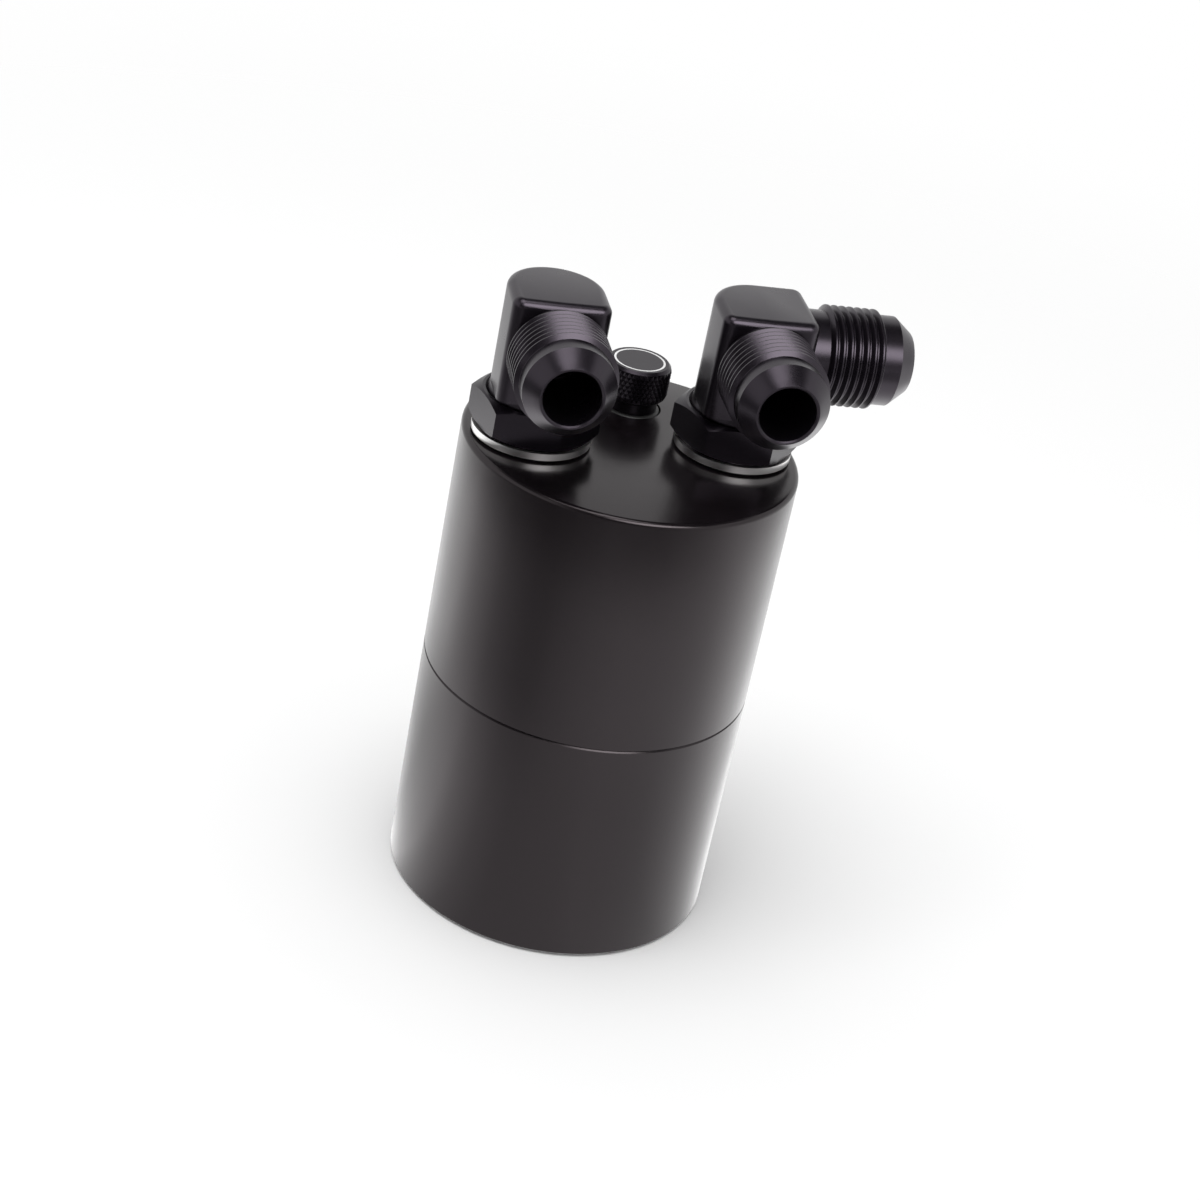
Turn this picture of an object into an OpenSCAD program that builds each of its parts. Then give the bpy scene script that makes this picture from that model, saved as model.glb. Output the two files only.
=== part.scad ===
// Oil catch can: a two-part turned aluminium can with two adjustable hose fittings on its top,
// a dipstick with a knurled knob, and a strainer stack inside.
// Millimetres, +Z up, origin at the centre of the can's bottom face.
// The fittings stand on the X axis and their front outlets point towards -Y.

/* [Can] */
// Outer diameter of the can
can_d = 76.2; // [72:0.1:84]
// Height of the can without its fittings
can_h = 114.3; // [106:0.1:130]
// Height of the seam between the lower cup and the upper shell
seam_h = 56.8; // [52:0.1:62]
// Wall of the lower cup
cup_wall = 3.6; // [3.4:0.1:4.4]
// Wall left outside the cup's threaded mouth
mouth_wall = 1.8; // [1.6:0.1:2.2]
// Thickness of the cup's floor
floor_t = 6; // [4:0.5:8]
// Wall of the upper shell
shell_wall = 5.3; // [5:0.1:6.5]
// Thickness of the shell's top plate
plate_t = 15; // [15:0.5:18]
// Length of the threaded spigot that screws into the cup
spigot_h = 13; // [11:0.5:16]
// Rounding of the top edge
top_edge_r = 1.2; // [0.6:0.1:2]
// Chamfer of the bottom edge
foot_edge = 0.6; // [0.3:0.1:1]
// Chamfer on each side of the seam
seam_edge = 0.3; // [0.2:0.05:0.5]

/* [Fittings] */
// Outer diameter of the fitting's threads
thread_d = 22.2; // [21:0.1:22.8]
// Pitch of the fitting's threads
thread_pitch = 1.814; // [1.5:0.001:2]
// Diameter of an outlet's bore
bore_d = 12.4; // [11:0.1:13]
// Diameter of the passage inside a fitting
passage_d = 12; // [10:0.1:12.2]
// Height of the outlets' axis above the top plate
outlet_z = 25.1; // [24:0.1:30]
// Height of a fitting's top above the top plate
fitting_top_z = 36; // [35.6:0.1:40]
// Height of a fitting body's underside above the top plate
fitting_low_z = 12; // [11.6:0.1:13]
// Width of a fitting's body
body_w = 21.6; // [20:0.1:21.8]
// Distance from a fitting's axis to its front face
front_face = 10.6; // [10:0.1:12]
// Distance from the tee's axis to its side face
side_face = 11.1; // [10.4:0.1:12]
// Distance from a fitting's axis to the nose of its front outlet
front_reach = 33.4; // [32.6:0.1:36]
// Distance from the tee's axis to the nose of its side outlet
side_reach = 35; // [33:0.1:37]
// Turn of the left elbow from straight ahead
left_clock = -2.7; // [-20:0.1:20]
// Turn of the right tee from straight ahead
right_clock = -2.2; // [-20:0.1:20]
// Rounding of a fitting's top edge
fitting_edge_r = 1.9; // [1:0.1:2.4]
// Depth of the threaded part of a port
port_depth = 13; // [11:0.5:14]

/* [Jam nuts and washers] */
// Width across the flats of a jam nut
nut_af = 25.4; // [24.6:0.1:27]
// Height of a jam nut
nut_h = 8.2; // [7:0.1:8.2]
// Outer diameter of a backing washer
washer_d = 26.8; // [25.6:0.1:27.6]
// Thickness of a backing washer
washer_t = 1.6; // [1.2:0.1:1.8]
// Thickness of a port's O-ring
port_ring_t = 2.4; // [2:0.1:2.6]

/* [Dipstick] */
// Place of the dipstick left or right of the can's axis
dip_x = 4; // [2:0.5:6]
// Place of the dipstick behind the can's axis
dip_y = 19; // [17:0.5:21]
// Diameter of the knob
knob_d = 15.3; // [14:0.1:17]
// Height of the knob's knurled head
knob_h = 8.4; // [7:0.1:10]
// Height of the shoulder under the head
shoulder_h = 2.8; // [2:0.1:4]
// Diameter of the shoulder under the head
shoulder_d = 11.6; // [11:0.1:13]
// Diameter of the knob's threaded shank
shank_d = 10; // [9:0.1:10.4]
// Diameter of the rod
rod_d = 4.4; // [4:0.1:5]
// Gap between the rod's tip and the cup's floor
rod_gap = 3; // [2:0.5:8]
// Number of knurl grooves each way round the head
knurl_count = 42; // [24:1:44]

/* [Strainer] */
// Height of the free space above the strainer
head_space = 6; // [4:0.5:8]
// Thickness of a perforated screen
screen_t = 1.2; // [0.8:0.1:2]
// Height of the mesh pack
pack_h = 22; // [12:0.5:24]
// Outer diameter of the inlet tube
tube_d = 17; // [15:0.1:17.4]
// Wall of the inlet tube
tube_wall = 1.2; // [1:0.1:2]
// Gap between the inlet tube and the shell's wall, which sets how far apart the fittings stand
tube_gap = 1.1; // [0.6:0.1:2]
// Length of the inlet tube below the lower screen
tube_drop = 9; // [6:0.5:12]
// Diameter of a strainer screw
screw_d = 4; // [3:0.1:5]
// Gap between a screw's spacer and the shell's wall
spacer_gap = 3.2; // [2:0.1:5]

/* [Hidden] */
$fn = 96;

// Fits
run_gap = 0.06;
seat_gap = 0.05;
press_gap = 0.02;
rod_hole_gap = 0.5;

// Length that a cut runs past the faces it opens
over = 1;

// Can
mouth_edge = 0.4;
spigot_edge = 0.6;
can_r = can_d / 2;
cup_r = can_r - cup_wall;
mouth_r = can_r - mouth_wall;
mouth_depth = spigot_h + spigot_edge;
cup_corner_r = 4;
shell_r = can_r - shell_wall;
spigot_r = mouth_r - run_gap;
plate_low = can_h - plate_t;
seal_t = 1.8;
seal_drop = 3.6;
seal_r = spigot_r - seal_t / 2;
groove_floor_r = spigot_r - seal_t - run_gap;
port_spacing = 2 * (shell_r - tube_gap) - tube_d;
port_x = port_spacing / 2;

// Fitting stack, as heights above the top plate
ring_out = 0.6;
washer_z = ring_out;
nut_z = washer_z + washer_t + seat_gap;
relief_r = 9.6;
relief_low = -2;
nut_lift = 1.4;
nut_cone = 30;
nut_mouth = 0.5;
nut_turn_left = 41.7;
nut_turn_right = 48;
nut_edge = 0.4;
nut_round = 0.2;
relief_over = 0.2;
relief_top = washer_z + washer_t + nut_lift + relief_over;
stem_gap = 0.55;
stem_low = stem_gap - port_depth;
stem_edge = 0.8;
thread_runout = 1;
nut_thread_top = fitting_low_z - thread_runout;
port_gap = run_gap;
thread_r = thread_d / 2;
port_r = thread_r + port_gap;
port_mouth_w = 1.4;
port_mouth_r = port_r + port_mouth_w;
port_mouth_depth = 2.7;
port_hole_d = tube_d + 2 * press_gap;
washer_gap = 0.4;
washer_hole_r = relief_r + washer_gap;
ring_r = relief_r + run_gap + port_ring_t / 2;
ring_z = ring_out - seat_gap - port_ring_t / 2;

// Fitting bodies
front_corner_r = 2.6;
back_corner_r = 2.5;

// Outlet
root_edge = 2;
neck_r = 9.8;
thread_turns = 7;
thread_depth = 1.05;
crest_w = 0.3;
root_w = 0.22;
nose_run = 7.7;
cone_angle = 37;
nose_r = 7.1;
relief_out_r = 10;
cone_len = (relief_out_r - nose_r) / tan(cone_angle);
nose_edge = 0.25;
bore_edge = 0.3;
bore_depth = 23;

// Dipstick, as heights above the top plate
shank_len = 10;
seal_seat_r = 7;
seal_seat_depth = 1.6;
dip_seal_t = 1.7;
knob_gap = 0.1;
knob_z = seat_gap + dip_seal_t - seal_seat_depth + knob_gap;
head_z = knob_z + shoulder_h;
head_top = head_z + knob_h;
rod_socket = 7;
rod_edge = 0.8;
rod_marks = [12, 22, 32];
rod_mark_w = 1;
rod_mark_depth = 0.5;
knurl_depth = 0.32;
knurl_edge = 0.6;
knurl_tilt = 30;
ring_mark_r = 5.7;
ring_mark_w = 0.5;
ring_mark_depth = 0.15;

// Strainer
upper_screen_z = plate_low - head_space - screen_t;
pack_z = upper_screen_z - pack_h;
lower_screen_z = pack_z - screen_t;
screen_gap = 0.3;
screen_r = shell_r - screen_gap;
tube_slant = 20;
tube_hole_gap = 0.2;
screw_grip = 8;
screw_tip_gap = 0.5;
head_out = 1.8;
screw_head_r = screw_d / 2 + head_out;
screw_head_h = 2.4;
screw_key_d = 2.8;
screw_key_depth = 1.44;
spacer_wall = 1.6;
spacer_r = screw_d / 2 + spacer_wall;
pack_gap = 0.1;
screw_circle_r = shell_r - spacer_gap - spacer_r;
screw_angles = [50, 130, 270];
hole_d = 4.2;
hole_pitch = 6.4;
hole_land = 1;
rim_land = 1.5;

module at_port(side) {
    translate([side * port_x, 0, can_h]) children();
}

module at_dipstick(z) {
    translate([dip_x, dip_y, z]) children();
}

module at_screws(z) {
    for (a = screw_angles)
        rotate([0, 0, a]) translate([screw_circle_r, 0, z]) children();
}

// A ring of round section
module o_ring(r, t) {
    rotate_extrude() translate([r, 0]) circle(d = t, $fn = 32);
}

module tube(r_out, r_in, h) {
    difference() {
        cylinder(r = r_out, h = h);
        translate([0, 0, -over]) cylinder(r = r_in, h = h + 2 * over);
    }
}

// The lower cup, a turned bowl with a threaded mouth
module lower_cup() {
    color("#38353a")
        rotate_extrude()
            polygon(concat(
                [[0, 0], [can_r - foot_edge, 0], [can_r, foot_edge], [can_r, seam_h - seam_edge],
                 [can_r - seam_edge, seam_h], [mouth_r + mouth_edge, seam_h], [mouth_r, seam_h - mouth_edge],
                 [mouth_r, seam_h - mouth_depth], [cup_r, seam_h - mouth_depth - (mouth_r - cup_r)]],
                [for (a = [0:-15:-90]) [cup_r - cup_corner_r + cup_corner_r * cos(a),
                                        floor_t + cup_corner_r + cup_corner_r * sin(a)]],
                [[0, floor_t]]));
}

// The O-ring in the spigot's groove
module shell_seal() {
    color("#161616") translate([0, 0, seam_h - seal_drop]) o_ring(seal_r, seal_t);
}

// One port: a threaded hole with a cone for its O-ring
module port_cut() {
    translate([0, 0, -port_depth]) cylinder(r = port_r, h = port_depth + over);
    translate([0, 0, -port_mouth_depth])
        cylinder(r1 = port_r, r2 = port_mouth_r, h = port_mouth_depth);
    translate([0, 0, -plate_t - over]) cylinder(d = port_hole_d, h = plate_t);
}

// The upper shell: top plate, wall and threaded spigot in one piece
module upper_shell() {
    seal_low = seam_h - seal_drop - seal_t / 2 - run_gap;
    seal_high = seam_h - seal_drop + seal_t / 2 + run_gap;
    color("#38353a")
        difference() {
            rotate_extrude()
                polygon(concat(
                    [[0, plate_low], [shell_r, plate_low], [shell_r, seam_h - spigot_h],
                     [spigot_r - spigot_edge, seam_h - spigot_h],
                     [spigot_r, seam_h - spigot_h + spigot_edge],
                     [spigot_r, seal_low], [groove_floor_r, seal_low], [groove_floor_r, seal_high],
                     [spigot_r, seal_high], [spigot_r, seam_h + seat_gap],
                     [can_r - seam_edge, seam_h + seat_gap],
                     [can_r, seam_h + seat_gap + seam_edge]],
                    [for (a = [0:15:90]) [can_r - top_edge_r + top_edge_r * cos(a),
                                          can_h - top_edge_r + top_edge_r * sin(a)]],
                    [[0, can_h]]));
            for (side = [-1, 1]) at_port(side) port_cut();
            at_dipstick(can_h) {
                translate([0, 0, -plate_t - over])
                    cylinder(d = shank_d + 2 * run_gap, h = plate_t + 2 * over);
                translate([0, 0, -seal_seat_depth])
                    cylinder(r = seal_seat_r, h = seal_seat_depth + over);
            }
            at_screws(plate_low - over)
                cylinder(d = screw_d + 2 * press_gap, h = screw_grip + over + screw_tip_gap);
        }
}

// One V-shaped ridge of an outlet's thread, as profile points round its middle
function ridge(m) = [[thread_r - thread_depth, m - thread_pitch / 2 + root_w / 2],
                     [thread_r, m - crest_w / 2],
                     [thread_r, m + crest_w / 2],
                     [thread_r - thread_depth, m + thread_pitch / 2 - root_w / 2]];

// An outlet along +X that starts at the fitting's axis, with its nose at the given reach
module outlet(reach) {
    thread_end = reach - nose_run;
    thread_start = thread_end - thread_turns * thread_pitch;
    rotate([0, 90, 0])
        rotate_extrude()
            polygon(concat(
                [[0, 0], [passage_d / 2 + root_edge, 0], [neck_r, front_face - root_edge],
                 [neck_r, thread_start]],
                [for (i = [0:thread_turns - 1]) each ridge(thread_start + (i + 0.5) * thread_pitch)],
                [[relief_out_r, thread_end], [relief_out_r, reach - cone_len],
                 [nose_r, reach - nose_edge], [nose_r - nose_edge, reach], [0, reach]]));
}

module outlet_bore(reach) {
    rotate([0, 90, 0]) {
        translate([0, 0, -passage_d / 2]) cylinder(d = passage_d, h = passage_d / 2 + reach);
        translate([0, 0, reach - bore_depth]) cylinder(d = bore_d, h = bore_depth + over);
        translate([0, 0, reach - bore_edge])
            cylinder(d1 = bore_d, d2 = bore_d + 4 * bore_edge, h = 2 * bore_edge);
    }
}

// The threaded stem of a fitting, from inside the port up to the body
module stem() {
    rotate_extrude()
        polygon([[0, stem_low], [thread_r - stem_edge, stem_low], [thread_r, stem_low + stem_edge],
                 [thread_r, relief_low - stem_edge], [relief_r, relief_low],
                 [relief_r, relief_top], [thread_r, relief_top + stem_edge],
                 [thread_r, nut_thread_top], [body_w / 2, nut_thread_top + stem_edge],
                 [body_w / 2, fitting_low_z + over], [0, fitting_low_z + over]]);
}

// A post with a rounded top edge, for the corners of a fitting's body
module post(r, low, high, edge) {
    rotate_extrude($fn = 32)
        polygon(concat([[0, low], [r, low]],
                       [for (a = [0:15:90]) [r - edge + edge * cos(a), high - edge + edge * sin(a)]],
                       [[0, high]]));
}

// A body block: round behind, flat in front, reaching to the given sides
module block(half_w, right, low) {
    hull() {
        rotate_extrude()
            polygon(concat([[0, low], [half_w, low]],
                           [for (a = [0:15:90])
                               [half_w - fitting_edge_r + fitting_edge_r * cos(a),
                                fitting_top_z - fitting_edge_r + fitting_edge_r * sin(a)]],
                           [[0, fitting_top_z]]));
        for (x = [-half_w, right])
            translate([x - sign(x) * front_corner_r, front_corner_r - front_face, 0])
                post(front_corner_r, low, fitting_top_z, fitting_edge_r);
        if (right > half_w)
            translate([right - back_corner_r, half_w - back_corner_r, 0])
                post(back_corner_r, low, fitting_top_z, fitting_edge_r);
    }
}

// The passage that rises from a fitting's stem to the height of its outlets
module stem_passage() {
    translate([0, 0, stem_low - over])
        cylinder(d = passage_d, h = outlet_z - stem_low + over);
}

// The left elbow: stem, body that is round behind, and one outlet to the front
module left_elbow() {
    color("#4a464c")
        at_port(-1) rotate([0, 0, left_clock])
            difference() {
                union() {
                    stem();
                    block(body_w / 2, body_w / 2, fitting_low_z);
                    translate([0, 0, outlet_z]) rotate([0, 0, -90]) outlet(front_reach);
                }
                stem_passage();
                translate([0, 0, outlet_z]) rotate([0, 0, -90]) outlet_bore(front_reach);
            }
}

// The right tee: stem, block body, and outlets to the front and to the side
module right_tee() {
    color("#4a464c")
        at_port(1) rotate([0, 0, right_clock])
            difference() {
                union() {
                    stem();
                    block(body_w / 2, side_face, fitting_low_z);
                    translate([0, 0, outlet_z]) {
                        rotate([0, 0, -90]) outlet(front_reach);
                        outlet(side_reach);
                    }
                }
                stem_passage();
                translate([0, 0, outlet_z]) {
                    rotate([0, 0, -90]) outlet_bore(front_reach);
                    outlet_bore(side_reach);
                }
            }
}

module port_ring(side) {
    color("#161616") at_port(side) translate([0, 0, ring_z]) o_ring(ring_r, port_ring_t);
}

module washer(side) {
    color("#c9c7c6")
        at_port(side) translate([0, 0, washer_z]) tube(washer_d / 2, washer_hole_r, washer_t);
}

// A hexagon nut with both its ends turned to a cone
module jam_nut(side) {
    corner_r = nut_af / sqrt(3);
    face_r = nut_af / 2 - nut_edge;
    rim_r = corner_r + nut_round;
    drop = (rim_r - face_r) * tan(nut_cone);
    hole_r = thread_r + run_gap;
    turn = side < 0 ? nut_turn_left : nut_turn_right;
    color("#3b383d")
        at_port(side) translate([0, 0, nut_z]) rotate([0, 0, turn])
            difference() {
                intersection() {
                    cylinder(r = corner_r, h = nut_h, $fn = 6);
                    rotate_extrude()
                        polygon([[0, 0], [face_r, 0], [rim_r, drop], [rim_r, nut_h - drop],
                                 [face_r, nut_h], [0, nut_h]]);
                }
                translate([0, 0, -over]) cylinder(r = hole_r, h = nut_h + 2 * over);
                translate([0, 0, nut_h - nut_mouth])
                    cylinder(r1 = hole_r, r2 = hole_r + 2 * nut_mouth, h = 2 * nut_mouth);
            }
}

// The knob's head, a bar of rings of corners: every other corner of the rings between is a peak,
// and each small square folds along its valley corners, which gives the diamonds
module knurled_head() {
    columns = 2 * knurl_count;
    r_high = knob_d / 2;
    r_low = r_high - knurl_depth;
    band = knob_h - 2 * knurl_edge;
    rows = max(2, round(band * tan(knurl_tilt) * columns / (PI * knob_d)));
    last = rows + 2;
    corners = [for (j = [0:last], i = [0:columns - 1])
        let (a = 360 * i / columns,
             z = j == 0 ? 0 : j == last ? knob_h : knurl_edge + (j - 1) * band / rows,
             r = j == 0 || j == last ? r_low - knurl_edge
                 : j == 1 || j == last - 1 || (i + j) % 2 == 0 ? r_low : r_high)
            [r * cos(a), r * sin(a), z]];
    sides = [for (j = [0:last - 1], i = [0:columns - 1])
        let (p = j * columns + i, q = j * columns + (i + 1) % columns,
             q_up = q + columns, p_up = p + columns)
            each (j == 0 || j == last - 1 ? [[p, p_up, q_up, q]]
                  : (i + j) % 2 == 0 ? [[p, p_up, q_up], [p, q_up, q]]
                  : [[p, p_up, q], [q, p_up, q_up]])];
    ends = [[for (i = [0:columns - 1]) i], [for (i = [columns - 1:-1:0]) last * columns + i]];
    polyhedron(points = corners, faces = concat(sides, ends));
}

// The knob: knurled head with a ring cut in its top, shoulder and threaded shank
module dipstick_knob() {
    color("#312e33")
        at_dipstick(can_h)
            difference() {
                union() {
                    translate([0, 0, knob_z - shank_len]) cylinder(d = shank_d, h = shank_len + over);
                    translate([0, 0, knob_z]) cylinder(d = shoulder_d, h = shoulder_h + over);
                    translate([0, 0, head_z]) knurled_head();
                }
                translate([0, 0, head_top - ring_mark_depth])
                    tube(ring_mark_r + ring_mark_w / 2, ring_mark_r - ring_mark_w / 2, over);
                translate([0, 0, knob_z - shank_len - over])
                    cylinder(d = rod_d + 2 * press_gap, h = rod_socket + over);
            }
}

// The rod, with turned rings that mark the levels
module dipstick_rod() {
    rod_r = rod_d / 2;
    tip = floor_t + rod_gap;
    top = can_h + knob_z - shank_len + rod_socket;
    color("#b9b8b6")
        at_dipstick(0)
            rotate_extrude()
                polygon(concat([[0, tip], [rod_r - rod_edge, tip], [rod_r, tip + rod_edge]],
                               [for (m = rod_marks) each
                                   [[rod_r, tip + m], [rod_r - rod_mark_depth, tip + m],
                                    [rod_r - rod_mark_depth, tip + m + rod_mark_w],
                                    [rod_r, tip + m + rod_mark_w]]],
                               [[rod_r, top - rod_edge], [rod_r - rod_edge, top], [0, top]]));
}

module dipstick_seal() {
    color("#161616")
        at_dipstick(can_h - seal_seat_depth + seat_gap + dip_seal_t / 2)
            o_ring(shank_d / 2 + run_gap + dip_seal_t / 2, dip_seal_t);
}

// The inlet tube, pressed into the left port and cut at a slant below the strainer
module inlet_tube() {
    low = lower_screen_z - tube_drop;
    high = can_h - port_depth - seat_gap;
    color("#a9a8a8")
        difference() {
            translate([-port_x, 0, low]) tube(tube_d / 2, tube_d / 2 - tube_wall, high - low);
            translate([-port_x - tube_d / 2, 0, low]) rotate([0, tube_slant, 0])
                translate([-over, -tube_d, -tube_d]) cube([3 * tube_d, 2 * tube_d, tube_d]);
        }
}

// Holes in the strainer for the inlet tube, the dipstick rod and the given screw clearance
module strainer_cuts(z, h, screw_r) {
    translate([-port_x, 0, z - over]) cylinder(d = tube_d + 2 * tube_hole_gap, h = h + 2 * over);
    at_dipstick(z - over) cylinder(d = rod_d + 2 * rod_hole_gap, h = h + 2 * over);
    at_screws(z - over) cylinder(r = screw_r, h = h + 2 * over);
}

// True where a screen's small hole stays clear of the larger ones and of the rim
function clear_of(x, y, c, gap) = norm([x - c[0], y - c[1]]) > gap + hole_d / 2 + hole_land;
function hole_fits(x, y) = norm([x, y]) < screen_r - hole_d / 2 - rim_land
    && clear_of(x, y, [-port_x, 0], tube_d / 2)
    && clear_of(x, y, [dip_x, dip_y], rod_d / 2)
    && min([for (a = screw_angles)
        clear_of(x, y, [screw_circle_r * cos(a), screw_circle_r * sin(a)], spacer_r) ? 1 : 0]) == 1;

module screen(z) {
    rows = ceil(screen_r / hole_pitch);
    color("#9fa0a2")
        difference() {
            translate([0, 0, z]) cylinder(r = screen_r, h = screen_t);
            strainer_cuts(z, screen_t, screw_d / 2 + press_gap);
            for (i = [-rows:rows], j = [-rows:rows]) {
                x = (i + (j % 2 == 0 ? 0 : 0.5)) * hole_pitch;
                y = j * hole_pitch * sin(60);
                if (hole_fits(x, y))
                    translate([x, y, z - over]) cylinder(d = hole_d, h = screen_t + 2 * over, $fn = 24);
            }
        }
}

// The rolled pack of knitted wire between the screens
module mesh_pack() {
    color("#8d8c8a")
        difference() {
            translate([0, 0, pack_z + press_gap]) cylinder(r = screen_r, h = pack_h - 2 * press_gap);
            strainer_cuts(pack_z, pack_h, spacer_r + pack_gap);
        }
}

module upper_spacers() {
    color("#b3b2b0")
        at_screws(upper_screen_z + screen_t) tube(spacer_r, screw_d / 2 + press_gap, head_space);
}

module pack_spacers() {
    color("#b3b2b0") at_screws(pack_z) tube(spacer_r, screw_d / 2 + press_gap, pack_h);
}

// Three screws that hold the strainer up to the top plate
module strainer_screws() {
    color("#c4c3c1")
        at_screws(0)
            difference() {
                union() {
                    translate([0, 0, lower_screen_z])
                        cylinder(d = screw_d, h = plate_low + screw_grip - lower_screen_z);
                    translate([0, 0, lower_screen_z - screw_head_h])
                        cylinder(r = screw_head_r, h = screw_head_h);
                }
                translate([0, 0, lower_screen_z - screw_head_h - over])
                    cylinder(d = screw_key_d, h = over + screw_key_depth, $fn = 6);
            }
}

lower_cup();
shell_seal();
upper_shell();
left_elbow();
port_ring(-1);  // left_port_ring
washer(-1);  // left_washer
jam_nut(-1);  // left_jam_nut
right_tee();
port_ring(1);  // right_port_ring
washer(1);  // right_washer
jam_nut(1);  // right_jam_nut
dipstick_knob();
dipstick_rod();
dipstick_seal();
inlet_tube();
screen(upper_screen_z);  // upper_screen
mesh_pack();
screen(lower_screen_z);  // lower_screen
upper_spacers();
pack_spacers();
strainer_screws();
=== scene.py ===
"""Looks of the oil catch can: finishes, markings, floor, light and camera."""

import math

import bpy
from mathutils import Matrix, Vector


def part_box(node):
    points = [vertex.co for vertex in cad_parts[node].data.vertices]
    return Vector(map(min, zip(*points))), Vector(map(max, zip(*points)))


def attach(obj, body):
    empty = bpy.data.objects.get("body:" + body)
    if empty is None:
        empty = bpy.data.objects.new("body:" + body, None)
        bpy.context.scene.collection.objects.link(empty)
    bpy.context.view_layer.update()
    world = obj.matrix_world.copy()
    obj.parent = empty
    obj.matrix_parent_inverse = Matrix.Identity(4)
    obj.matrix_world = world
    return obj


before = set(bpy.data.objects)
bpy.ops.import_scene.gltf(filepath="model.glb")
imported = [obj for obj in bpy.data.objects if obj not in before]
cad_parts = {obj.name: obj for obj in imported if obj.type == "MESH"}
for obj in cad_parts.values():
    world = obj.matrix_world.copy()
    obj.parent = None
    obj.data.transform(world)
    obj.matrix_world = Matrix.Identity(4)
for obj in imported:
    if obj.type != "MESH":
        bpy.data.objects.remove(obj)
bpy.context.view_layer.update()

MM = 0.001

# Camera, solved from the outlines of the can in the photograph
CAMERA_AT = Vector((-156.0, -492.8, 357.7)) * MM
CAMERA_AZIMUTH = math.radians(-17.59)
CAMERA_ELEVATION = math.radians(28.81)
CAMERA_ROLL = math.radians(11.70)
CAMERA_LENS = 76.94
CAMERA_SENSOR = 36.0
CAMERA_CLIP = (0.01, 20.0)

# The white world's strength for the light that falls on things. Seen directly or in the gloss, it is 1.
WORLD_LIGHT = 0.84

# The point that the lamp and the cards face, in metres
LAMP_TARGET = Vector((0.0, 0.0, 0.08))

# Floor, in metres: it fades into the backdrop between FLOOR_CLEAR and FLOOR_END from its middle
FLOOR_RADIUS = 3.0
FLOOR_DROP = 0.0002
FLOOR_CLEAR = 0.25
FLOOR_END = 0.7

# Glowing sheet on the floor that only shows in the gloss and paints reflections of a bright floor in the
# can, in metres: it fades out beyond the share of its size given by the soft constant below
PAINTED_REFLECTION_HALF_SIZE = 2.0
PAINTED_REFLECTION_RISE = 0.0003
PAINTED_REFLECTION_SOFT = 0.6

# Brightness of the glowing sheet, and so of the painted reflections it gives the can, by the angle round
# the can, in degrees from +X: at the can's foot, near the can and far from it. No level is over GLOW_MOST.
GLOW_MOST = 3.0
GLOW_FOOT = [
    (-180, 2.4), (-170, 1.95), (-159, 1.63), (-149, 1.26), (-141, 1.14), (-133, 1.01), (-116, 1.1),
    (-99, 1.2), (-91, 1.3), (-56, 1.25), (-35, 1.55), (-18, 1.85), (-2, 2.05), (25, 1.9), (45, 1.4),
    (90, 1.1), (120, 1.1), (150, 1.4), (165, 2.0), (180, 2.4),
]
GLOW_NEAR = [
    (-180, 1.4), (-171, 1.0), (-158, 0.75), (-148, 0.6), (-138, 0.62), (-127, 0.88), (-107, 1.25),
    (-87, 1.5), (-65, 1.55), (-46, 1.6), (-32, 1.7), (-18, 2.0), (-2, 2.25), (25, 1.9), (45, 1.3),
    (90, 1.0), (120, 1.8), (150, 2.4), (165, 1.85), (180, 1.4),
]
GLOW_FAR = [
    (-180, 0.15), (-150, 0.05), (-125, 0.2), (-105, 0.4), (-75, 0.3), (-50, 0.8), (-25, 1.6), (0, 1.4),
    (30, 0.8), (70, 1.0), (115, 1.1), (150, 0.8), (170, 0.3), (180, 0.15),
]
# Distances from the can's axis, in metres, between which one brightness turns into the next
FOOT_TO_NEAR = (0.08, 0.16)
NEAR_TO_FAR = (0.25, 0.31)

# Places of the can's features, in the frame's metres
KNOB_LOW, KNOB_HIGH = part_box("dipstick_knob")
KNOB_X = (KNOB_LOW[0] + KNOB_HIGH[0]) / 2
KNOB_Y = (KNOB_LOW[1] + KNOB_HIGH[1]) / 2
KNOB_TOP = KNOB_HIGH[2]

# White line that fills the ring in the knob's top, RING_SUNK below it
RING_RADIUS = 5.7 * MM
RING_WIDTH = 0.5 * MM
RING_DEPTH = 0.12 * MM
RING_SUNK = 0.02 * MM
RING_STEPS = 96

# Black anodising: its darker and its paler colour, and the tint of its gloss
CAN_COLOURS = ((0.0045, 0.0034, 0.0042), (0.0066, 0.005, 0.006), (1.0, 0.88, 0.92))
FITTING_COLOURS = ((0.003, 0.0024, 0.0035), (0.005, 0.0039, 0.0057), (0.96, 0.83, 1.0))

# Nodes whose small facets are shaded smooth, up to this angle in degrees
SMOOTH_NODES = ("left_elbow", "right_tee", "upper_shell", "lower_cup")
SMOOTH_ANGLE = 24


# Node helpers


def new_material(name):
    """A material with an empty node tree, its shader and its output."""
    material = bpy.data.materials.new(name)
    material.use_nodes = True
    nodes = material.node_tree.nodes
    nodes.clear()
    output = nodes.new("ShaderNodeOutputMaterial")
    shader = nodes.new("ShaderNodeBsdfPrincipled")
    material.node_tree.links.new(shader.outputs["BSDF"], output.inputs["Surface"])
    return material, shader


def add(material, kind, **settings):
    """A new node with its properties and its unlinked inputs set by name."""
    node = material.node_tree.nodes.new(kind)
    for key, value in settings.items():
        if hasattr(node, key):
            setattr(node, key, value)
        else:
            node.inputs[key.replace("_", " ")].default_value = value
    return node


def link(material, source, target):
    material.node_tree.links.new(source, target)


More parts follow.
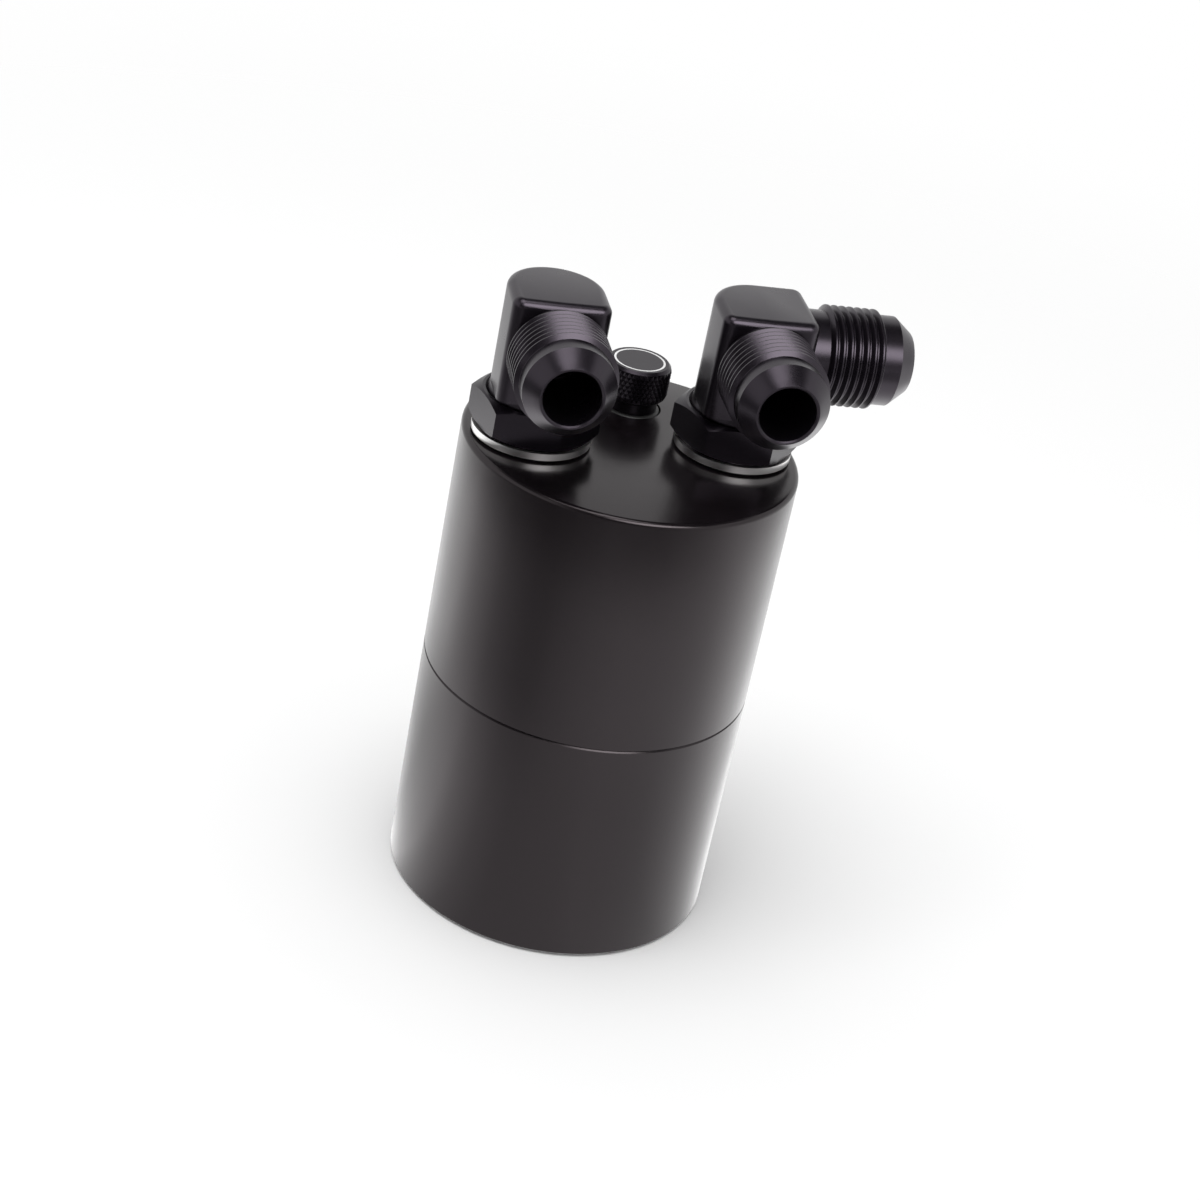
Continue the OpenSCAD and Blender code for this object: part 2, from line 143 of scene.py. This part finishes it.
def position(material, centre=(0.0, 0.0, 0.0)):
    """The place on the object in millimetres, counted from a centre."""
    coords = add(material, "ShaderNodeTexCoord")
    shift = add(material, "ShaderNodeVectorMath", operation="SUBTRACT")
    shift.inputs[1].default_value = centre
    scale = add(material, "ShaderNodeVectorMath", operation="SCALE")
    scale.inputs["Scale"].default_value = 1.0 / MM
    link(material, coords.outputs["Object"], shift.inputs[0])
    link(material, shift.outputs[0], scale.inputs[0])
    return scale.outputs[0]


def ramp(material, value, low, high):
    """Maps a value from 0..1 onto low..high."""
    node = add(material, "ShaderNodeMapRange")
    node.inputs["To Min"].default_value = low
    node.inputs["To Max"].default_value = high
    link(material, value, node.inputs["Value"])
    return node.outputs["Result"]


def noise(material, vector, per_mm, detail=3.0, roughness=0.55):
    """Noise from 0 to 1, with about this many features per millimetre."""
    node = add(material, "ShaderNodeTexNoise", Scale=per_mm, Detail=detail, Roughness=roughness)
    link(material, vector, node.inputs["Vector"])
    return node.outputs["Fac"]


def mix_colour(material, factor, first, second):
    """A colour between two, by a factor from 0 to 1."""
    node = add(material, "ShaderNodeMix", data_type="RGBA")
    ends = {"A": (*first, 1.0), "B": (*second, 1.0)}
    for socket in node.inputs:
        if socket.type == "RGBA":
            socket.default_value = ends[socket.name]
    link(material, factor, node.inputs["Factor"])
    return next(out for out in node.outputs if out.type == "RGBA")


def bump(material, shader, height, distance, strength=1.0):
    """Bump whose height is in millimetres."""
    node = add(material, "ShaderNodeBump")
    node.inputs["Strength"].default_value = strength
    node.inputs["Distance"].default_value = distance * MM
    link(material, height, node.inputs["Height"])
    link(material, node.outputs["Normal"], shader.inputs["Normal"])


def turned_lines(material, vector, lines_per_mm):
    """Height of the fine tool lines that a lathe leaves: rings on a face and hoops on a wall."""
    split = add(material, "ShaderNodeSeparateXYZ")
    link(material, vector, split.inputs[0])
    flat = add(material, "ShaderNodeCombineXYZ")
    link(material, split.outputs["X"], flat.inputs["X"])
    link(material, split.outputs["Y"], flat.inputs["Y"])
    radius = add(material, "ShaderNodeVectorMath", operation="LENGTH")
    link(material, flat.outputs[0], radius.inputs[0])
    along = add(material, "ShaderNodeCombineXYZ")
    link(material, radius.outputs["Value"], along.inputs["X"])
    link(material, split.outputs["Z"], along.inputs["Y"])
    return noise(material, along.outputs[0], lines_per_mm, detail=2.0, roughness=0.7)


def black_anodised(name, colour, paler, tint, roughness, lines, ior, centre=(0.0, 0.0, 0.0)):
    """Black anodised aluminium with fine turning lines, a fine grain and a slightly uneven dye."""
    material, shader = new_material(name)
    where = position(material, centre)
    cloud = noise(material, where, per_mm=0.05, detail=5.0)
    shade = mix_colour(material, cloud, colour, paler)
    link(material, shade, shader.inputs["Base Color"])
    fine = turned_lines(material, where, lines)
    smudge = noise(material, where, per_mm=0.12, detail=6.0, roughness=0.62)
    share_of_lines = 0.35
    spread = 0.05
    blend = add(material, "ShaderNodeMath", operation="MULTIPLY_ADD")
    blend.inputs[1].default_value = share_of_lines
    link(material, fine, blend.inputs[0])
    link(material, smudge, blend.inputs[2])
    rough = ramp(material, blend.outputs[0], low=roughness - spread, high=roughness + spread)
    link(material, rough, shader.inputs["Roughness"])
    shader.inputs["IOR"].default_value = ior
    shader.inputs["Specular Tint"].default_value = (*tint, 1.0)
    grain = noise(material, where, per_mm=5.0, detail=2.0)
    height = add(material, "ShaderNodeMath", operation="ADD")
    link(material, fine, height.inputs[0])
    link(material, grain, height.inputs[1])
    bump(material, shader, height.outputs[0], distance=0.005, strength=0.6)
    return material


def turned_metal(name, colour, roughness, lines, centre=(0.0, 0.0, 0.0)):
    """Bare turned metal, a little darker and smoother in the tool lines."""
    material, shader = new_material(name)
    where = position(material, centre)
    fine = turned_lines(material, where, lines)
    darkening = 0.86
    in_the_lines = tuple(darkening * level for level in colour)
    shade = mix_colour(material, fine, in_the_lines, colour)
    link(material, shade, shader.inputs["Base Color"])
    rough = ramp(material, fine, low=roughness - 0.06, high=roughness + 0.08)
    link(material, rough, shader.inputs["Roughness"])
    shader.inputs["Metallic"].default_value = 1.0
    bump(material, shader, fine, distance=0.01, strength=0.5)
    return material


def rubber(name):
    """Black rubber with a fine grain."""
    material, shader = new_material(name)
    where = position(material)
    grain = noise(material, where, per_mm=3.0)
    shade = mix_colour(material, grain, (0.012, 0.012, 0.012), (0.02, 0.02, 0.02))
    link(material, shade, shader.inputs["Base Color"])
    rough = ramp(material, grain, low=0.42, high=0.6)
    link(material, rough, shader.inputs["Roughness"])
    bump(material, shader, grain, distance=0.02, strength=0.5)
    return material


def knitted_wire(name):
    """Loops of fine wire, packed tight."""
    material, shader = new_material(name)
    where = position(material)
    loops = add(material, "ShaderNodeTexVoronoi", feature="DISTANCE_TO_EDGE", Scale=1.1)
    link(material, where, loops.inputs["Vector"])
    wire = add(material, "ShaderNodeMapRange")
    wire.inputs["From Max"].default_value = 0.18
    wire.inputs["To Min"].default_value = 1.0
    wire.inputs["To Max"].default_value = 0.0
    link(material, loops.outputs["Distance"], wire.inputs["Value"])
    # The dark colour between the wires is painted shade in the gaps between the loops.
    shade = mix_colour(material, wire.outputs["Result"], (0.03, 0.03, 0.03), (0.6, 0.6, 0.6))
    link(material, shade, shader.inputs["Base Color"])
    rough = ramp(material, wire.outputs["Result"], low=0.7, high=0.3)
    link(material, rough, shader.inputs["Roughness"])
    shader.inputs["Metallic"].default_value = 1.0
    bump(material, shader, wire.outputs["Result"], distance=0.3)
    return material


def marking_paint(name):
    """White laser marking with a faint grain."""
    material, shader = new_material(name)
    where = position(material)
    grain = noise(material, where, per_mm=8.0)
    shade = mix_colour(material, grain, (0.72, 0.72, 0.72), (0.86, 0.86, 0.86))
    link(material, shade, shader.inputs["Base Color"])
    rough = ramp(material, grain, low=0.5, high=0.7)
    link(material, rough, shader.inputs["Roughness"])
    return material


# Finishes of the CAD nodes


def middle(node):
    """The middle of a node's box."""
    low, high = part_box(node)
    return tuple((low[i] + high[i]) / 2 for i in range(3))


def finish_nodes():
    """Gives each CAD node its material."""
    can = black_anodised("can_finish", *CAN_COLOURS, roughness=0.19, lines=9.0, ior=1.4)
    fitting = black_anodised("fitting_finish", *FITTING_COLOURS, roughness=0.27, lines=5.0, ior=1.47)
    knob = black_anodised(
        "knob_finish", *FITTING_COLOURS, roughness=0.28, lines=6.0, ior=1.38, centre=middle("dipstick_knob")
    )
    seal = rubber("rubber_finish")
    bare = turned_metal("bare_aluminium", (0.72, 0.72, 0.72), roughness=0.32, lines=5.0)
    stainless = turned_metal("stainless_sheet", (0.56, 0.56, 0.57), roughness=0.35, lines=3.0)
    finishes = {
        "lower_cup": can,
        "upper_shell": can,
        "left_elbow": fitting,
        "right_tee": fitting,
        "dipstick_knob": knob,
        "dipstick_rod": bare,
        "inlet_tube": bare,
        "upper_spacers": bare,
        "pack_spacers": bare,
        "upper_screen": stainless,
        "lower_screen": stainless,
        "strainer_screws": stainless,
        "mesh_pack": knitted_wire("knitted_wire"),
    }
    for node in ("shell_seal", "dipstick_seal", "left_port_ring", "right_port_ring"):
        finishes[node] = seal
    for side in ("left", "right"):
        washer = f"{side}_washer"
        nut = f"{side}_jam_nut"
        finishes[washer] = turned_metal(
            f"{washer}_steel", (0.86, 0.85, 0.84), roughness=0.28, lines=4.0, centre=middle(washer)
        )
        finishes[nut] = black_anodised(
            f"{nut}_finish", *FITTING_COLOURS, roughness=0.2, lines=5.0, ior=1.34, centre=middle(nut)
        )
    for node, material in finishes.items():
        mesh_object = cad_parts[node]
        mesh_object.data.materials.clear()
        mesh_object.data.materials.append(material)


def smooth_over(node, degrees):
    """Soft shading over the small facets of a CAD node, with its corners kept."""
    tree = bpy.data.node_groups.new(f"{node}_smooth", "GeometryNodeTree")
    tree.interface.new_socket("Geometry", in_out="INPUT", socket_type="NodeSocketGeometry")
    tree.interface.new_socket("Geometry", in_out="OUTPUT", socket_type="NodeSocketGeometry")
    nodes = tree.nodes
    source = nodes.new("NodeGroupInput")
    bare = nodes.new("GeometryNodeRemoveAttribute")
    bare.inputs["Name"].default_value = "custom_normal"
    weld = nodes.new("GeometryNodeMergeByDistance")
    weld.inputs["Distance"].default_value = 0.001 * MM
    faces = nodes.new("GeometryNodeSetShadeSmooth")
    edges = nodes.new("GeometryNodeSetShadeSmooth")
    edges.domain = "EDGE"
    angle = nodes.new("GeometryNodeInputMeshEdgeAngle")
    limit = nodes.new("FunctionNodeCompare")
    limit.data_type = "FLOAT"
    limit.operation = "LESS_THAN"
    limit.inputs["B"].default_value = math.radians(degrees)
    target = nodes.new("NodeGroupOutput")
    links = tree.links
    links.new(source.outputs[0], bare.inputs["Geometry"])
    links.new(bare.outputs["Geometry"], weld.inputs["Geometry"])
    links.new(weld.outputs["Geometry"], faces.inputs["Geometry"])
    links.new(faces.outputs["Geometry"], edges.inputs["Geometry"])
    links.new(angle.outputs["Unsigned Angle"], limit.inputs["A"])
    links.new(limit.outputs["Result"], edges.inputs["Shade Smooth"])
    links.new(edges.outputs["Geometry"], target.inputs[0])
    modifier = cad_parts[node].modifiers.new("smooth", "NODES")
    modifier.node_group = tree


# Floor, light and camera


def seen_directly(nodes, links):
    """1 for camera, glossy and transmission rays, and 0 for the rest."""
    path = nodes.new("ShaderNodeLightPath")
    glossy = nodes.new("ShaderNodeMath")
    glossy.operation = "MAXIMUM"
    through = nodes.new("ShaderNodeMath")
    through.operation = "MAXIMUM"
    links.new(path.outputs["Is Camera Ray"], glossy.inputs[0])
    links.new(path.outputs["Is Glossy Ray"], glossy.inputs[1])
    links.new(glossy.outputs[0], through.inputs[0])
    links.new(path.outputs["Is Transmission Ray"], through.inputs[1])
    return through.outputs[0]


def make_stage():
    """A white floor that keeps the shadow, and fades into the white backdrop."""
    bpy.ops.mesh.primitive_circle_add(
        vertices=96, radius=FLOOR_RADIUS, fill_type="NGON", location=(0.0, 0.0, -FLOOR_DROP)
    )
    floor = bpy.context.object
    floor.name = "floor"
    material, shader = new_material("floor_white")
    shader.inputs["Base Color"].default_value = (0.92, 0.92, 0.92, 1.0)
    shader.inputs["Roughness"].default_value = 0.9
    shader.inputs["Specular IOR Level"].default_value = 0.0
    coords = add(material, "ShaderNodeTexCoord")
    distance = add(material, "ShaderNodeVectorMath", operation="LENGTH")
    fade = add(material, "ShaderNodeMapRange", interpolation_type="SMOOTHSTEP")
    fade.inputs["From Min"].default_value = FLOOR_CLEAR
    fade.inputs["From Max"].default_value = FLOOR_END
    link(material, coords.outputs["Object"], distance.inputs[0])
    link(material, distance.outputs["Value"], fade.inputs["Value"])
    air = add(material, "ShaderNodeBsdfTransparent")
    mix = add(material, "ShaderNodeMixShader")
    output = next(node for node in material.node_tree.nodes if node.type == "OUTPUT_MATERIAL")
    link(material, fade.outputs["Result"], mix.inputs["Fac"])
    link(material, shader.outputs["BSDF"], mix.inputs[1])
    link(material, air.outputs["BSDF"], mix.inputs[2])
    link(material, mix.outputs["Shader"], output.inputs["Surface"])
    floor.data.materials.append(material)


def make_light():
    """A pale world, one soft lamp above, and black and glowing sheets that only show in the gloss: painted
    dark reflections and painted highlights.
    """
    world = bpy.data.worlds.new("studio")
    bpy.context.scene.world = world
    world.use_nodes = True
    nodes = world.node_tree.nodes
    links = world.node_tree.links
    nodes.clear()
    output = nodes.new("ShaderNodeOutputWorld")
    background = nodes.new("ShaderNodeBackground")
    strength = nodes.new("ShaderNodeMapRange")
    strength.inputs["To Min"].default_value = WORLD_LIGHT
    strength.inputs["To Max"].default_value = 1.0
    links.new(seen_directly(nodes, links), strength.inputs["Value"])
    links.new(strength.outputs["Result"], background.inputs["Strength"])
    background.inputs["Color"].default_value = (1.0, 1.0, 1.0, 1.0)
    links.new(background.outputs[0], output.inputs["Surface"])
    soft_box("top_light", (-0.18, -0.12, 1.0), width=0.5, height=0.6, power=4.0)
    # Black cards paint dark reflections and glowing cards paint highlights; none of them lights or shades
    # anything directly.
    card("front_flag", (-0.25, -1.0, 0.5), width=2.4, height=1.1, glow=0.0, soft=0.6)
    card("canopy", (0.0, -0.1, 1.5), width=3.4, height=3.4, glow=0.0, soft=0.75)
    card("front_high", (0.085, -0.56, 0.62), width=0.75, height=0.6, glow=8.0, soft=0.6)
    card("right_high", (0.7, -0.2, 0.72), width=0.5, height=0.4, glow=1.3, soft=0.3)
    table_glow()


def soft_box(name, place, width, height, power):
    """A soft lamp that faces the can."""
    data = bpy.data.lights.new(name, "AREA")
    data.shape = "RECTANGLE"
    data.size = width
    data.size_y = height
    data.energy = power
    lamp = bpy.data.objects.new(name, data)
    bpy.context.scene.collection.objects.link(lamp)
    face_the_can(lamp, place)


def card(name, place, width, height, glow, soft):
    """A card that faces the can, black or glowing, and fades out beyond the share soft of its size. It only
    shows in the gloss: a painted dark reflection when black, a painted highlight when glowing.
    """
    half = (width / 2, height / 2)
    face_the_can(gloss_sheet(name, half, card_material(name, half, soft, glow)), place)


def face_the_can(thing, place):
    thing.location = place
    thing.rotation_euler = (LAMP_TARGET - Vector(place)).to_track_quat("-Z", "Y").to_euler()


def gloss_sheet(name, half, material):
    """A flat rectangle that only shows in the gloss of the object."""
    x, y = half
    piece = mesh_piece(name, [(-x, -y, 0), (x, -y, 0), (x, y, 0), (-x, y, 0)], [(0, 1, 2, 3)], material)
    piece.visible_camera = False
    piece.visible_diffuse = False
    piece.visible_transmission = False
    piece.visible_shadow = False
    return piece


def round_ramp(material, share, stops):
    """A brightness that changes with the angle, from stops of degrees and level."""
    levels = add(material, "ShaderNodeValToRGB")
    strength = add(material, "ShaderNodeMath", operation="MULTIPLY")
    strength.inputs[1].default_value = GLOW_MOST
    link(material, share, levels.inputs["Fac"])
    link(material, levels.outputs["Color"], strength.inputs[0])
    elements = levels.color_ramp.elements
    while len(elements) < len(stops):
        elements.new(0.5)
    for element, (degrees, level) in zip(elements, stops):
        grey = level / GLOW_MOST
        element.position = (degrees + 180) / 360
        element.color = (grey, grey, grey, 1.0)
    return strength.outputs[0]


def table_glow():
    """A glowing sheet on the floor, seen only in the gloss, that paints the can's reflections: its
    brightness changes round the can and away from it.
    """
    half = (PAINTED_REFLECTION_HALF_SIZE, PAINTED_REFLECTION_HALF_SIZE)
    material = card_material("table_glow", half, PAINTED_REFLECTION_SOFT, glow=0.0)
    glow = next(node for node in material.node_tree.nodes if node.type == "EMISSION")
    coords = add(material, "ShaderNodeTexCoord")
    split = add(material, "ShaderNodeSeparateXYZ")
    angle = add(material, "ShaderNodeMath", operation="ARCTAN2")
    share = add(material, "ShaderNodeMapRange")
    share.inputs["From Min"].default_value = -math.pi
    share.inputs["From Max"].default_value = math.pi
    distance = add(material, "ShaderNodeVectorMath", operation="LENGTH")
    link(material, coords.outputs["Object"], split.inputs[0])
    link(material, coords.outputs["Object"], distance.inputs[0])
    link(material, split.outputs["Y"], angle.inputs[0])
    link(material, split.outputs["X"], angle.inputs[1])
    link(material, angle.outputs[0], share.inputs["Value"])
    level = round_ramp(material, share.outputs["Result"], GLOW_FOOT)
    for (start, end), stops in ((FOOT_TO_NEAR, GLOW_NEAR), (NEAR_TO_FAR, GLOW_FAR)):
        further = add(material, "ShaderNodeMapRange", interpolation_type="SMOOTHSTEP")
        further.inputs["From Min"].default_value = start
        further.inputs["From Max"].default_value = end
        mix = add(material, "ShaderNodeMix", data_type="FLOAT")
        link(material, distance.outputs["Value"], further.inputs["Value"])
        link(material, further.outputs["Result"], mix.inputs["Factor"])
        link(material, level, mix.inputs["A"])
        link(material, round_ramp(material, share.outputs["Result"], stops), mix.inputs["B"])
        level = mix.outputs["Result"]
    link(material, level, glow.inputs["Strength"])
    gloss_sheet("table_glow", half, material).location = (0.0, 0.0, PAINTED_REFLECTION_RISE)


def card_material(name, half, soft, glow):
    """Glows in the middle and fades to clear air at the ellipse that fills the card."""
    material, shader = new_material(f"{name}_card")
    output = next(node for node in material.node_tree.nodes if node.type == "OUTPUT_MATERIAL")
    material.node_tree.nodes.remove(shader)
    coords = add(material, "ShaderNodeTexCoord")
    part = add(material, "ShaderNodeVectorMath", operation="DIVIDE")
    part.inputs[1].default_value = (*half, 1.0)
    reach = add(material, "ShaderNodeVectorMath", operation="LENGTH")
    edge = add(material, "ShaderNodeMapRange", interpolation_type="SMOOTHSTEP")
    edge.inputs["From Min"].default_value = soft
    glowing = add(material, "ShaderNodeEmission")
    glowing.inputs["Strength"].default_value = glow
    air = add(material, "ShaderNodeBsdfTransparent")
    mix = add(material, "ShaderNodeMixShader")
    link(material, coords.outputs["Object"], part.inputs[0])
    link(material, part.outputs[0], reach.inputs[0])
    link(material, reach.outputs["Value"], edge.inputs["Value"])
    link(material, edge.outputs["Result"], mix.inputs["Fac"])
    link(material, glowing.outputs["Emission"], mix.inputs[1])
    link(material, air.outputs["BSDF"], mix.inputs[2])
    link(material, mix.outputs["Shader"], output.inputs["Surface"])
    return material


def make_camera():
    """The photograph's camera, and a view that leaves the colours as they are."""
    data = bpy.data.cameras.new("camera")
    data.lens = CAMERA_LENS
    data.sensor_width = CAMERA_SENSOR
    data.sensor_fit = "HORIZONTAL"
    data.clip_start, data.clip_end = CAMERA_CLIP
    camera = bpy.data.objects.new("camera", data)
    bpy.context.scene.collection.objects.link(camera)
    turn = Matrix.Rotation(CAMERA_AZIMUTH, 4, "Z")
    tilt = Matrix.Rotation(math.pi / 2 - CAMERA_ELEVATION, 4, "X")
    roll = Matrix.Rotation(CAMERA_ROLL, 4, "Z")
    camera.matrix_world = Matrix.Translation(CAMERA_AT) @ turn @ tilt @ roll
    bpy.context.scene.camera = camera
    bpy.context.scene.view_settings.view_transform = "Standard"


# Markings


def make_knob_ring(paint):
    """The white line that fills the ring cut in the knob's top."""
    vertices = []
    faces = []
    for i in range(RING_STEPS):
        angle = 2 * math.pi * i / RING_STEPS
        for r in (RING_RADIUS - RING_WIDTH / 2, RING_RADIUS + RING_WIDTH / 2):
            for z in (KNOB_TOP - RING_DEPTH, KNOB_TOP - RING_SUNK):
                vertices.append((KNOB_X + r * math.cos(angle), KNOB_Y + r * math.sin(angle), z))
    for i in range(RING_STEPS):
        a = 4 * i
        b = 4 * ((i + 1) % RING_STEPS)
        faces += [(a + 1, a + 3, b + 3, b + 1), (a, b, b + 2, a + 2)]
        faces += [(a, a + 1, b + 1, b), (a + 2, b + 2, b + 3, a + 3)]
    ring = mesh_piece("knob_ring_line", vertices, faces, paint)
    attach(ring, "dipstick")


def mesh_piece(name, vertices, faces, material):
    """A new object with its own mesh and material."""
    mesh = bpy.data.meshes.new(name)
    mesh.from_pydata(vertices, [], faces)
    mesh.update()
    piece = bpy.data.objects.new(name, mesh)
    bpy.context.scene.collection.objects.link(piece)
    mesh.materials.append(material)
    return piece


make_camera()
make_stage()
make_light()
finish_nodes()
for smooth_node in SMOOTH_NODES:
    smooth_over(smooth_node, SMOOTH_ANGLE)
make_knob_ring(marking_paint("marking_white"))
